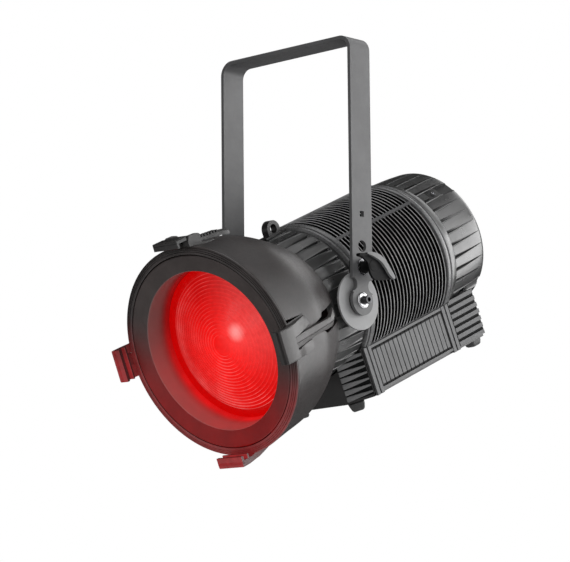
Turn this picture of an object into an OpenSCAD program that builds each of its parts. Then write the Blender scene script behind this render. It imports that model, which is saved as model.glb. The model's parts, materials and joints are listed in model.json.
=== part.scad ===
// Theatre fresnel spotlight: finned lamp head tilting in a flat-bar yoke.
// Axes: +X right along the tilt axis, -Y to the front, +Z up; origin on the yoke's top face.
// Head parts are drawn in head axes: x right, y up, z forward along the optical axis.

/* [Yoke] */
// Outside width of the yoke (mm)
yoke_w = 250; // [249:0.5:254]
// Tilt axis to the yoke's top face (mm)
yoke_h = 372; // [350:1:400]
// Width of the flat bar (mm)
bar_w = 40; // [38:1:42]
// Outside radius of the yoke's bends (mm)
bend_r = 20; // [14:1:26]
// Nose-down angle of the head (degrees)
tilt = 25.35; // [0:0.05:40]

/* [Head] */
// Radius of the hood's rim (mm)
hood_r = 150; // [150:0.5:151]
// Radius of the fresnel lens (mm)
lens_r = 110; // [109:0.5:110]
// Steps in the fresnel lens
lens_steps = 14; // [10:1:18]
// Number of ring fins
fin_count = 22; // [16:1:24]
// Radius of the fins and flanges (mm)
fin_r = 110.5; // [108:0.5:110.5]
// Grooves round the rear cap
cap_grooves = 36; // [24:4:36]
// Slats in each side grille
slat_count = 17; // [12:1:20]

/* [Hidden] */
$fn = 96;
eps = 0.01;
gap = 0.3;
bar_t = 5;
yin = yoke_w / 2 - bar_t;
axis_off = 5.3;
tab_r = 20.5;
bolt_r = 6;
run = 0.06;
disc_r = 40;
disc_x = yin - 3;
pad_x = 111;
stud_z = 46;
stud_r = 4;
bell = [[105.9, 38], [135, 92], [142, 115], [146, 150], [hood_r, 182.5]];
flange_f = -24;
fin_f = -39;
fin_b = -209;
cap_f = -222.5;
cap_b = -312;
box_w = 75.2;
box_top = -74;
box_bot = -143;
box_f = 8;
box_b = -288;
rod_R = 78;
zoom_a = 60;
pin_a = 182;
pin_v = 158.5;
turns = [-2, 178, 88, 268];
seats = [[139.6, 122], [144.7, 166]];
buttons = [[-30, 15], [-10, 15], [10, 15], [30, 15]];
sockets = [[-38, -28, 13], [38, -28, 13], [-17, -60, 11], [17, -60, 11], [68, 30, 7]];

black = [0.09, 0.09, 0.1];
grey = [0.3, 0.3, 0.31];
steel = [0.7, 0.7, 0.72];

// ---- placement ----
module at_pivot() translate([0, 0, -yoke_h]) children();
module head() at_pivot() rotate([tilt, 0, 0]) translate([0, 0, axis_off]) rotate([90, 0, 0]) children();
module across(x, y = 0, z = 0) translate([x, y, z]) rotate([0, 90, 0]) children();
module both() for (s = [0, 1]) mirror([s, 0, 0]) children();
module ring(ro, ri, z0, z1) translate([0, 0, z0]) difference() {
  cylinder(r = ro, h = z1 - z0);
  translate([0, 0, -1]) cylinder(r = ri, h = z1 - z0 + 2);
}
module block(x, y, z) translate([x[0], y[0], z[0]]) cube([x[1] - x[0], y[1] - y[0], z[1] - z[0]]);
module spin(n, a0 = 0) for (i = [0 : n - 1]) rotate([0, 0, a0 + i * 360 / n]) children();

// ---- yoke ----
module bent_bar(w, h, r) {
  translate([-w / 2 + r, 0]) square([w - 2 * r, h]);
  translate([-w / 2, 0]) square([w, h - r]);
  for (s = [-1, 1]) translate([s * (w / 2 - r), h - r]) circle(r = r);
}
module yoke_frame() color(grey) at_pivot() difference() {
  union() {
    translate([0, bar_w / 2, 30]) rotate([90, 0, 0]) linear_extrude(bar_w) difference() {
      bent_bar(yoke_w, yoke_h - 30, bend_r);
      translate([0, -1]) bent_bar(2 * yin, yoke_h - 30 - bar_t + 1, bend_r - bar_t);
    }
    both() across(yin) linear_extrude(bar_t) difference() {
      union() {
        circle(r = tab_r);
        translate([-30 - eps, -bar_w / 2]) square([20, bar_w]);
      }
      for (s = [-1, 1]) translate([-21, s * 20.5]) circle(r = 9.5);
    }
  }
  both() {
    across(yin - 1) cylinder(r = bolt_r + run, h = bar_t + 2);
    across(yin - 1, 0, 75.5) cylinder(r = 8, h = bar_t + 2);
    block([yin - 1, yin + bar_t + 1], [-4, 4], [116.5, 124.5]);
  }
  across(yin - 1, 0, stud_z) cylinder(r = stud_r + gap, h = bar_t + 2);
}
module brake_stud() color(steel) at_pivot() across(pad_x + 2.9, 0, stud_z)
  cylinder(r = stud_r, h = 31.5);
module brake_washer() color(steel) at_pivot() across(yin + bar_t + 0.2, 0, stud_z)
  difference() { cylinder(r = 11.5, h = 2); translate([0, 0, -1]) cylinder(r = stud_r + gap, h = 4); }
module brake_pad() color(black) at_pivot() {
  block([pad_x, pad_x + 2.7], [-12, 12], [29, 56]);
  block([pad_x, yin - 0.3], [-12, 12], [51.5, 56]);
}
// outline points are [height above the pivot, distance behind it]
wing_outer = [[62, -16], [63, -8], [63.4, 0], [62, 8], [59.5, 14.5], [55, 21], [50, 26.5], [46, 30],
  [42.5, 33.5], [38.5, 37], [35.5, 40], [32, 39.5], [31, 37.5]];
module plate_yz(x, t, pts) across(x) linear_extrude(t) polygon([for (p = pts) [-p[0], p[1]]]);
module brake_lever() color(black) at_pivot() difference() {
  union() {
    across(yin + bar_t + 2.5, 0, stud_z) cylinder(r = 7.5, h = 21.5);
    plate_yz(yin + bar_t + 17, 3.5, concat([[55.5, -31], [59, -31], [59.5, -22]], wing_outer,
      [[28, 22], [26, 2], [33, -4], [40, -8], [50, -12], [54.5, -22]]));
    plate_yz(yin + bar_t + 16, 8.5, concat(wing_outer, [[33, 33], [36.5, 28], [43, 22], [48, 17],
      [52, 10], [55.5, 0], [58, -8], [59.5, -16]]));
  }
  across(yin + bar_t, 0, stud_z) cylinder(r = stud_r + run, h = 21.5);
}

// ---- tilt pivots ----
module tilt_bolts() color(steel) at_pivot() both() {
  across(84) cylinder(r = bolt_r, h = yin + bar_t + 2.5 - 84);
  across(yin + bar_t + 2.5) difference() {
    cylinder(r = bolt_r, h = 9);
    translate([0, 0, 3]) cylinder(r = 3.6, h = 7, $fn = 6);
  }
}
module tilt_washers() color(steel) at_pivot() both() across(yin + bar_t + 0.25)
  ring(11, bolt_r + gap, 0, 2.2);
module friction_discs() color(grey) at_pivot() both() across(disc_x - 3) ring(disc_r, bolt_r + gap, 0, 3);
module friction_washers() color(black) at_pivot() both() across(disc_x + 0.2)
  ring(19, bolt_r + gap, 0, 2.6);

// ---- hood and optics ----
module hood_shell() color(black) head() difference() {
  rotate_extrude($fn = 128) polygon(concat(bell, [for (i = [4 : -1 : 0]) [bell[i][0] - 3, bell[i][1]]]));
  for (q = turns) rotate([0, 0, q]) {
    block([100, 160], [-16, 16], [60, 88]);
    for (p = seats) across(120, 0, p[1]) cylinder(r = 2 + gap, h = 40);
  }
}
module front_ring() color(black) head() difference() {
  rotate_extrude($fn = 128) polygon([[138.7, 183], [hood_r, 183], [hood_r, 184.5], [147, 186.5],
    [141, 188], [138.7, 188]]);
  for (r = [141.2, 143.8, 146.4]) translate([0, 0, 185.4]) difference() {
    cylinder(r = r + 1, h = 4);
    translate([0, 0, -1]) cylinder(r = r, h = 6);
  }
}
module bezel() color(black) head() rotate_extrude($fn = 128)
  polygon([[113.7, 183], [137.3, 187.6], [137.3, 184.6], [116.6, 180.4], [115, 143.5], [112.2, 143.5]]);
function dome(r) = 142 + 20 * (1 - pow(r / 98, 2));
module lens() color([0.75, 0.12, 0.12, 0.6]) head() rotate_extrude($fn = 128) {
  step = (98 - 15) / (lens_steps - 1);
  polygon(concat([[0, 134], [lens_r, 134], [lens_r, 142], [98, 142]],
    [for (i = [lens_steps - 2 : -1 : 0]) let (r = 15 + i * step)
      each [[r + step - eps, dome(r + step) - 1.4], [r + 0.4, dome(r) + 1.1]]],
    [[15, dome(15) - 1.4], [8, dome(8)], [0, dome(0) + 0.5]]));
}
module lens_seal() color(black) head() ring(lens_r + 1.1, lens_r - 4, 131.5, 133.8);
module lens_retainer() color(steel) head() ring(lens_r + 1.1, lens_r - 5, 126.5, 131.2);
module lens_holder() color(black) head() {
  ring(117.5, lens_r + 1.4, 126.5, 143.2);
  ring(138.2, 117, 129, 132);
}
module claw() {
  block([hood_r + 0.4, 159], [-23, 23], [176, 212]);
  block([144, 159], [-23, 23], [207, 212]);
  block([144, 159], [-23, 23], [196, 199.5]);
}
module arm() intersection() {
  translate([0, 30, 0]) rotate([90, 0, 0]) linear_extrude(60)
    polygon([[136, 80], [147, 80], [151, 96], [152.5, 112], [154, 150], [156, 178], [156, 190],
      [130, 190], [130, 108], [136, 100]]);
  across(100) linear_extrude(70) polygon([[-190, 25], [-142, 26], [-138, 12], [-167, 7.5], [-95, 7],
    [-80, 14], [-80, -7], [-95, -7], [-167, -7.5], [-138, -12], [-142, -26], [-190, -25]]);
}
module bell_solid() rotate_extrude($fn = 128)
  polygon(concat([[0, 38]], [for (p = bell) [p[0] + 0.4, p[1]]], [[hood_r + 0.4, 190], [0, 190]]));
module screw_seats() for (p = seats) across(120, 0, p[1]) cylinder(r = 2 + gap, h = p[0] + 8.4 - 120);
module slot_brackets() color(black) head() for (q = [0, 1, 3]) rotate([0, 0, turns[q]]) difference() {
  union() {
    claw();
    difference() { arm(); bell_solid(); }
  }
  screw_seats();
}
module latch_bracket() color(black) head() rotate([0, 0, turns[2]]) difference() {
  union() {
    difference() {
      union() {
        arm();
        for (s = [-1, 1]) block([hood_r - 3.8, 163.5], [s * 20.3 - 2.7, s * 20.3 + 2.7], [164, 189]);
      }
      bell_solid();
    }
    block([hood_r + 0.4, 153.1], [-20, 20], [170, 187]);
  }
  screw_seats();
  translate([pin_v, 31, pin_a]) rotate([90, 0, 0]) cylinder(r = 2.3, h = 62);
  translate([pin_v, 17.5, pin_a]) rotate([90, 0, 0]) cylinder(r = 5.2, h = 35);
}
module bracket_screws() color(steel) head() for (q = turns) rotate([0, 0, q])
  for (p = seats) across(p[0] - 2.5, 0, p[1]) {
    cylinder(r = 3.8, h = 2.2);
    cylinder(r = 2, h = 10.5);
  }
module top_latch() color(black) head() rotate([0, 0, turns[2]]) difference() {
  union() {
    block([pin_v + 0.5, pin_v + 4.5], [-17.2, 17.2], [pin_a, 212]);
    block([pin_v + 0.5, pin_v + 4.5], [-23, 23], [191, 212]);
    block([152.8, pin_v + 4.5], [-23, 23], [207.5, 212]);
    translate([pin_v, 17.2, pin_a]) rotate([90, 0, 0]) cylinder(r = 4.5, h = 34.4);
  }
  translate([pin_v, 20, pin_a]) rotate([90, 0, 0]) cylinder(r = 2 + run, h = 40);
}
module latch_pin() color(steel) head() rotate([0, 0, turns[2]])
  translate([pin_v, 22.6, pin_a]) rotate([90, 0, 0]) cylinder(r = 2, h = 45.2);

// ---- front casting ----
module front_casting() color(black) head() difference() {
  union() {
    rotate_extrude($fn = 128) polygon([[99.2, -23.7], [105, -23.7], [105, 24], [103.6, 37], [102.5, 37.2],
      [102.5, 50], [99.2, 50]]);
    for (i = [10 : 44]) rotate([0, 0, 10 * i + 2]) block([102, 106.8], [-1.6, 1.6], [-18.5, 22]);
    both() across(98, -axis_off, 0) cylinder(r = 24, h = disc_x - 3.3 - 98);
  }
  translate([0, 0, -30]) cylinder(r = 99.2, h = 90);
  both() across(80, -axis_off, 0) cylinder(r = bolt_r + gap, h = 60);
}
module safety_eye() color(black) head() difference() {
  union() {
    across(-5.5, 114.5, -1) cylinder(r = 13, h = 11);
    block([-5.5, 5.5], [106, 114.5], [-14, 12]);
    block([-9, 9], [105.5, 108], [-21, 23]);
  }
  across(-6, 115.5, -1) cylinder(r = 6.5, h = 12);
  translate([0, 0, -30]) cylinder(r = 105.3, h = 60);
}

// ---- heatsink ----
module front_flange() color(grey) head() ring(fin_r, 84, fin_f + 0.3, flange_f);
module rear_flange() color(grey) head() ring(fin_r, 84, cap_f + 0.5, fin_b - 0.3);
module heatsink_core() color(black) head() ring(80, 68, fin_b, fin_f - 0.3);
module diagonals() for (a = [45, 135, 225, 315]) rotate([0, 0, a]) children();
module heatsink_fins() color(black) head() {
  pitch = (fin_f - fin_b - 4) / fin_count;
  for (i = [0 : fin_count - 1]) difference() {
    ring(fin_r, 80.3, fin_b + 2 + (i + 0.5) * pitch - 1.1, fin_b + 2 + (i + 0.5) * pitch + 1.1);
    diagonals() block([102, 130], [-2.8, 2.8], [-260, 0]);
  }
}
module tie_ribs() color(grey) head() diagonals()
  block([102.3, fin_r - 0.2], [-2.5, 2.5], [fin_b, fin_f]);

// ---- light engine and zoom drive ----
module led_plate() color(steel) head() translate([0, 0, fin_f + 0.5]) cylinder(r = 83.5, h = 11.5);
module led_board() color([0.85, 0.85, 0.82]) head() translate([0, 0, -26.7]) cylinder(r = 40, h = 2);
module led_array() color([0.95, 0.8, 0.3]) head() translate([0, 0, -24.4]) cylinder(r = 22, h = 2.4);
module reflector() color(steel) head() rotate_extrude()
  polygon([[24, -21.5], [26, -21.5], [42, 0], [50, 30], [48, 30], [40, 0]]);
module ring_holes(r, z0, z1) for (a = [90, 210, 330]) rotate([0, 0, a])
  translate([rod_R, 0, z0]) cylinder(r = r, h = z1 - z0);
module screw_at(z) rotate([0, 0, 270]) translate([rod_R, 0, z]) children();
module bulkhead() color(grey) head() difference() {
  ring(98.8, 52, 40, 46);
  ring_holes(4 + gap, 39, 47);
  screw_at(39) cylinder(r = 5.06, h = 8);
}
module guide_rods() color(steel) head() ring_holes(4, 40, 108);
module zoom_motor() color(black) head() screw_at(6) difference() {
  translate([-17.5, -17.5, 0]) cube([35, 35, 33.6]);
  translate([0, 0, 30]) cylinder(r = 5.3, h = 4);
}
module zoom_screw() color(steel) head() screw_at(36.5) cylinder(r = 5, h = 71);
module zoom_carriage() color(grey) head() difference() {
  ring(88, 52.3, zoom_a, zoom_a + 8);
  ring_holes(4.06, zoom_a - 1, zoom_a + 9);
  screw_at(zoom_a - 1) cylinder(r = 5.06, h = 10);
}
module zoom_lens() color([0.8, 0.9, 0.95, 0.5]) head() translate([0, 0, zoom_a]) rotate_extrude()
  polygon([[0, 1], [52, 1], [52, 5], [46, 7.4], [34, 9.6], [18, 11.2], [0, 11.8]]);

// ---- rear cap and control panel ----
module rear_cap() color(black) head() difference() {
  rotate_extrude($fn = 128) polygon([[98, cap_f], [107, cap_f], [107, -234], [105, -237], [103.5, -290],
    [101, -304], [96.5, cap_b], [93, cap_b], [96, -305], [96, -290], [98, -286]]);
  spin(cap_grooves, 1) across(101) linear_extrude(9)
    polygon([[238, -1.9], [238, 1.9], [270, 1.5], [302, 0.5], [302, -0.5], [270, -1.5]]);
  diagonals() block([100.6, 120], [-7, 7], [-330, -252]);
}
module cap_screws() color(steel) head() diagonals() across(100.8, 0, -268) difference() {
  cylinder(r = 3.4, h = 2.4);
  translate([0, 0, 1]) cylinder(r = 1.7, h = 3, $fn = 6);
}
module rear_panel() color(grey) head() difference() {
  translate([0, 0, -304]) cylinder(r = 95.6, h = 3);
  block([-27, 27], [31, 61], [-310, -290]);
  for (p = buttons) translate([p[0], p[1], -310]) cylinder(r = 5.06, h = 20);
  for (p = sockets) translate([p[0], p[1], -310]) cylinder(r = p[2] + gap, h = 20);
}
module display_window() color([0.1, 0.12, 0.16]) head()
  block([-26.7, 26.7], [31.3, 60.7], [-304.6, -301.5]);
module button(i) color(steel) head() translate([buttons[i][0], buttons[i][1], -307.5])
  cylinder(r = 5, h = 8.5);
module button_up() button(0);
module button_down() button(1);
module button_enter() button(2);
module button_menu() button(3);
module socket(i, pins) {
  p = sockets[i];
  translate([p[0], p[1], -310]) difference() {
    union() {
      cylinder(r = p[2], h = 26);
      cylinder(r = p[2] + 4, h = 5.6);
    }
    translate([0, 0, -1]) cylinder(r = p[2] - 3, h = 8);
    spin(pins, 90) translate([p[2] - 7.5, 0, 6]) cylinder(r = 1.3, h = 6);
  }
}
module power_inlet() color([0.1, 0.2, 0.45]) head() socket(0, 3);
module power_outlet() color([0.6, 0.62, 0.64]) head() socket(1, 3);
module data_inlet() color(black) head() socket(2, 5);
module data_outlet() color(black) head() socket(3, 5);
module vent_plug() color(black) head() translate([sockets[4][0], sockets[4][1], -309]) {
  cylinder(r = 7, h = 10);
  cylinder(r = 10, h = 4.6);
}

// ---- driver box ----
module box_plan(w, f, b, c, rc) polygon([[-w + c, f], [w - c, f], [w, f - c], [w, b + rc], [w - rc, b],
  [-w + rc, b], [-w, b + rc], [-w, f - c]]);
module down(v0, v1) translate([0, v1, 0]) rotate([90, 0, 0]) linear_extrude(v1 - v0) children();
module round_body() {
  translate([0, 0, -222]) cylinder(r = fin_r + 0.6, h = 199);
  translate([0, 0, -320]) cylinder(r = 107.4, h = 100);
  translate([0, 0, -30]) cylinder(r = 107.6, h = 60);
}
module driver_box() color(black) head() difference() {
  down(box_bot, box_top) box_plan(box_w, box_f, box_b, 28.2, 8);
  down(box_bot + 3, -114) box_plan(box_w - 3, box_f - 4, box_b + 4, 27, 7);
  round_body();
}
module driver_board() color([0.1, 0.35, 0.2]) head() {
  block([-66, 66], [-133, -131.4], [-270, -30]);
  for (a = [-245, -190, -120, -60]) block([-40, 40], [-131.5, -118], [a, a + 26]);
}
module side_rails() color(grey) head() difference() {
  both() {
    block([box_w + 0.3, 78.5], [-82.3, -78.6], [-201.2, -37]);
    block([box_w + 0.3, 78.5], [-143, -139.3], [-201.2, -37]);
  }
  round_body();
}
module box_straps() color(grey) head() both() for (a = [-36.5, -217]) difference() {
  block([box_w + 0.3, 79], [-146.6, -77.5], [a, a + 15]);
  block([77.6, 80], [-150, -70], [a + 6, a + 9]);
  round_body();
}
module side_grilles() color(grey) head() both() {
  block([box_w + 0.3, 76.6], [-139, -82.6], [-200.8, -37.3]);
  w = 163.5 / slat_count;
  for (i = [0 : slat_count - 1]) translate([0, 0, -200.8 + i * w])
    block([76.5, 78], [-138.4, -83.2], [0.09 * w, 0.91 * w]);
}
module on_chamfer() both() translate([47.3, 0, box_f + 0.3]) rotate([0, 45, 0]) children();
module front_covers() color(black) head() difference() {
  on_chamfer() {
    block([0, 38.5], [-142.5, -80], [-0.1, 1.7]);
    for (i = [0 : 6]) translate([0, i * 9.2, 0]) block([0, 38.5], [-142.5, -136.9], [1.6, 5]);
  }
  round_body();
}
module rear_covers() color(black) head() difference() {
  both() {
    block([box_w + 0.3, 76.8], [-142.5, -75], [-279.5, -218]);
    for (i = [0 : 6]) translate([0, i * 10.2, 0])
      block([76.7, 79.5], [-142.5, -136.6], [-279.5 + abs(i - 3) * 0.8, -218]);
  }
  round_body();
}
module base_plate() color(black) head() down(box_bot - 3.8, box_bot - 0.3)
  box_plan(74, box_f - 1, box_b + 2, 27, 8);
module feet() color(black) head() {
  on_chamfer() block([1, 21], [-158.5, -147.1], [-13, 5]);
  both() block([52, 70], [-156.5, -147.1], [-276, -256]);
}

yoke_frame();
brake_stud();
brake_washer();
brake_pad();
brake_lever();
tilt_bolts();
tilt_washers();
friction_discs();
friction_washers();
hood_shell();
front_ring();
bezel();
lens();
lens_seal();
lens_retainer();
lens_holder();
latch_bracket();
slot_brackets();
bracket_screws();
top_latch();
latch_pin();
front_casting();
safety_eye();
front_flange();
heatsink_core();
heatsink_fins();
tie_ribs();
rear_flange();
led_plate();
led_board();
led_array();
reflector();
bulkhead();
guide_rods();
zoom_motor();
zoom_screw();
zoom_carriage();
zoom_lens();
rear_cap();
cap_screws();
rear_panel();
display_window();
button_up();
button_down();
button_enter();
button_menu();
power_inlet();
power_outlet();
data_inlet();
data_outlet();
vent_plug();
driver_box();
driver_board();
side_rails();
box_straps();
side_grilles();
front_covers();
rear_covers();
base_plate();
feet();
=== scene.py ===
import json
import math
import bpy
import bmesh
from mathutils import Matrix, Vector


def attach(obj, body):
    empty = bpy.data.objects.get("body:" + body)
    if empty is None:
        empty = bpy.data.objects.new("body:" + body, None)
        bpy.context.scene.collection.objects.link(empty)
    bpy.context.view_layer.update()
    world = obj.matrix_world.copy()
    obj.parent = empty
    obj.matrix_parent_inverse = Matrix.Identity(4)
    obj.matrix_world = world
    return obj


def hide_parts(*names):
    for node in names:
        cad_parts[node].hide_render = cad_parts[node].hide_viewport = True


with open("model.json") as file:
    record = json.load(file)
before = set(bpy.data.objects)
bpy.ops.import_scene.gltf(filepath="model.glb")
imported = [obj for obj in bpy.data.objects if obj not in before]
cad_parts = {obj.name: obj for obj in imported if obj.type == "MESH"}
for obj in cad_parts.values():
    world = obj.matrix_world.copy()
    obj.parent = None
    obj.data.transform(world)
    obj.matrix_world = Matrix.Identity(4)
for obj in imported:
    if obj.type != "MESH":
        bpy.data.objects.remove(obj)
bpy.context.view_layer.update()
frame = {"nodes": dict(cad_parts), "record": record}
nodes = frame["nodes"]
scene = bpy.context.scene

# ---------------------------------------------------------------- frames
# Shapes are written in mm. YOKE turns (x, y, z) from the pivot into the row's metres; HEAD does the same for
# (x, v, a): across, up from the optical axis, and forward along it.
PIVOT_Z = -0.372
AXIS_ABOVE_PIVOT = 0.0053
NOSE_DOWN = math.radians(25.35)
MM = Matrix.Scale(0.001, 4)
YOKE = Matrix.Translation((0, 0, PIVOT_Z)) @ MM
HEAD = (Matrix.Translation((0, 0, PIVOT_Z)) @ Matrix.Rotation(NOSE_DOWN, 4, "X")
        @ Matrix.Translation((0, 0, AXIS_ABOVE_PIVOT)) @ Matrix.Rotation(math.pi / 2, 4, "X") @ MM)
AXIS_POINT = HEAD @ Vector((0, 0, 0))
FORWARD = (HEAD.to_3x3() @ Vector((0, 0, 1))).normalized()
RIGHT = Vector((1, 0, 0))
UP = (HEAD.to_3x3() @ Vector((0, 1, 0))).normalized()


# ---------------------------------------------------------------- camera
SENSOR = 36                           # mm


def camera():
    """Looks at the part from its front right and a little below the pivot, as the photograph does."""
    azimuth, elevation, roll = 0.757807, -0.165309, -0.010166        # radians
    dist = 5.02633                    # metres from the pivot
    f = 6.341602                      # focal length over frame width
    cx, cy = 0.0205, 0.0533           # the pivot's place off the frame's middle, in frame widths
    level = math.cos(elevation)
    d = Vector((math.sin(azimuth) * level, -math.cos(azimuth) * level, math.sin(elevation)))
    fwd = -d
    right = fwd.cross(Vector((0, 0, 1))).normalized()
    up = right.cross(fwd)
    r = math.cos(roll) * right + math.sin(roll) * up
    u = -math.sin(roll) * right + math.cos(roll) * up
    aim = (fwd - r * (cx / f) + u * (cy / f)).normalized()
    r = (r - aim * r.dot(aim)).normalized()
    u = r.cross(aim)
    data = bpy.data.cameras.new("camera")
    data.sensor_width = SENSOR
    data.lens = SENSOR * f
    data.clip_end = 60
    cam = bpy.data.objects.new("camera", data)
    scene.collection.objects.link(cam)
    m = Matrix((r, u, -aim)).transposed().to_4x4()
    m.translation = Vector((0, 0, PIVOT_Z)) + d * dist
    cam.matrix_world = m
    scene.camera = cam


camera()


# ---------------------------------------------------------------- studio
FLOOR_Z = -1.6
AIM = Vector((0, 0, -0.35))
LIGHTS = [                            # name, place, size, watts
    ("side", (2.4, 1.7, 0.1), (1.6, 2.6), 26),
    ("right", (2.8, -0.4, 0.1), (1.6, 2.6), 10),
    ("right_front", (2.2, -2.2, 0.2), (1.6, 2.0), 18),
    ("rear_right", (1.3, 2.8, 0.0), (1.4, 2.2), 50),
    ("right_high", (2.0, 1.6, 1.6), (1.4, 1.4), 14),
    ("rear_high", (0, 2.6, 1.6), (2, 1.6), 22),
    ("top", (0, 0, 2.6), (2, 2), 26),
    ("front_high", (0.4, -2.8, 1.6), (1.8, 1.6), 20),
    ("front_low", (-1.4, -2.8, -0.4), (1.6, 1.6), 7),
]


def studio():
    """White beyond the floor, a faint even fill, a pale floor and soft area lights."""
    scene.view_settings.view_transform = "Standard"
    world = bpy.data.worlds.new("studio")
    scene.world = world
    world.use_nodes = True
    nt = world.node_tree
    fill = nt.nodes["Background"]
    fill.inputs["Color"].default_value = (1, 1, 1, 1)
    fill.inputs["Strength"].default_value = 0.03
    white = nt.nodes.new("ShaderNodeBackground")
    white.inputs["Color"].default_value = (1, 1, 1, 1)
    path = nt.nodes.new("ShaderNodeLightPath")
    mix = nt.nodes.new("ShaderNodeMixShader")
    nt.links.new(path.outputs["Is Camera Ray"], mix.inputs["Fac"])
    nt.links.new(fill.outputs[0], mix.inputs[1])
    nt.links.new(white.outputs[0], mix.inputs[2])
    nt.links.new(mix.outputs[0], nt.nodes["World Output"].inputs["Surface"])

    bm = bmesh.new()
    bmesh.ops.create_grid(bm, x_segments=1, y_segments=1, size=12)
    me = bpy.data.meshes.new("floor")
    bm.to_mesh(me)
    floor = bpy.data.objects.new("floor", me)
    floor.location = (0, 0, FLOOR_Z)
    scene.collection.objects.link(floor)
    mat = bpy.data.materials.new("floor")
    mat.use_nodes = True
    p = mat.node_tree.nodes["Principled BSDF"]
    p.inputs["Base Color"].default_value = (0.85, 0.85, 0.85, 1)
    p.inputs["Roughness"].default_value = 0.8
    me.materials.append(mat)

    for name, place, size, watts in LIGHTS:
        light = bpy.data.lights.new(name, "AREA")
        light.shape = "RECTANGLE"
        light.size, light.size_y = size
        light.energy = watts
        lamp = bpy.data.objects.new(name, light)
        lamp.location = place
        lamp.rotation_mode = "QUATERNION"
        lamp.rotation_quaternion = (AIM - Vector(place)).to_track_quat("-Z", "Y")
        lamp.visible_camera = False
        scene.collection.objects.link(lamp)


studio()


# ---------------------------------------------------------------- materials
def tree(name):
    mat = bpy.data.materials.new(name)
    mat.use_nodes = True
    return mat, mat.node_tree, mat.node_tree.nodes["Principled BSDF"]


def node(nt, kind, inputs=None, **props):
    n = nt.nodes.new("ShaderNode" + kind)
    for k, v in props.items():
        setattr(n, k, v)
    for k, v in (inputs or {}).items():
        if isinstance(v, bpy.types.NodeSocket):
            nt.links.new(v, n.inputs[k])
        else:
            n.inputs[k].default_value = v
    return n


def noise(nt, scale, detail=3.0, rough=0.55):
    co = node(nt, "TexCoord").outputs["Object"]
    ins = {"Vector": co, "Scale": scale, "Detail": detail, "Roughness": rough}
    return node(nt, "TexNoise", ins).outputs["Fac"]


def maprange(nt, value, a, b, c, d, smooth=True):
    n = node(nt, "MapRange", {"Value": value, "From Min": a, "From Max": b, "To Min": c, "To Max": d})
    n.interpolation_type = "SMOOTHSTEP" if smooth else "LINEAR"
    return n.outputs[0]


def maths(nt, op, a, b=0.0):
    return node(nt, "Math", {0: a, 1: b}, operation=op).outputs[0]


def product(nt, *values):
    out = values[0]
    for v in values[1:]:
        out = maths(nt, "MULTIPLY", out, v)
    return out


def mixed(nt, fac, a, b):
    n = node(nt, "Mix", data_type="RGBA")
    for sock, v in ((n.inputs[0], fac), (n.inputs[6], a), (n.inputs[7], b)):
        if isinstance(v, bpy.types.NodeSocket):
            nt.links.new(v, sock)
        else:
            sock.default_value = v if not isinstance(v, tuple) else (*v, 1)
    return n.outputs[2]


def head_coords(nt):
    """In mm: distance from the optical axis, place along it, and x and v across it."""
    co = node(nt, "TexCoord").outputs["Object"]
    rel = node(nt, "VectorMath", {0: co, 1: tuple(AXIS_POINT)}, operation="SUBTRACT").outputs[0]

    def along(axis):
        n = node(nt, "VectorMath", {0: rel, 1: tuple(axis * 1000)}, operation="DOT_PRODUCT")
        return n.outputs["Value"]
    a, x, v = along(FORWARD), along(RIGHT), along(UP)
    return apart(nt, x, v), a, x, v


def apart(nt, x, v):
    """Length of (x, v)."""
    return maths(nt, "SQRT", maths(nt, "ADD", product(nt, x, x), product(nt, v, v)))


def facing(nt):
    """How far the surface looks along the beam, from -1 to 1."""
    normal = node(nt, "NewGeometry").outputs["Normal"]
    return node(nt, "VectorMath", {0: normal, 1: tuple(FORWARD)}, operation="DOT_PRODUCT").outputs["Value"]


def lower_left(nt, x, v):
    """Grows towards the lower left of the head, where the lens spills its light."""
    return maths(nt, "SUBTRACT", maths(nt, "MULTIPLY", v, -1), maths(nt, "MULTIPLY", x, 0.35))


def bump(nt, p, height, strength, distance=0.0003):
    out = node(nt, "Bump", {"Height": height, "Strength": strength, "Distance": distance}).outputs[0]
    nt.links.new(out, p.inputs["Normal"])


def glow_wash(nt, p, level):
    """Red light spilled from the lens on what stands round its lower left."""
    _, a, x, v = head_coords(nt)
    amount = product(nt, maprange(nt, lower_left(nt, x, v), -30, 65, 0, 1), maprange(nt, a, 140, 190, 0, 1),
                     maprange(nt, facing(nt), -0.3, 0.7, 0.0, 1),
                     maprange(nt, noise(nt, 90, 4), 0.3, 0.7, 0.8, 1.1))
    p.inputs["Emission Color"].default_value = (1, 0.055, 0.06, 1)
    nt.links.new(maths(nt, "MULTIPLY", amount, level), p.inputs["Emission Strength"])


# Near black that coat paints into hollows as shade; SLAT_EDGES are the borders of the slatted field past
# which it is painted too.
HOLLOW_SHADE = (0.0012, 0.0012, 0.0013)
SLAT_EDGES = (("a", -39.2, -40.2), ("a", -198.8, -197.8), ("v", -85.6, -86.4), ("v", -136.4, -135.6))


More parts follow.
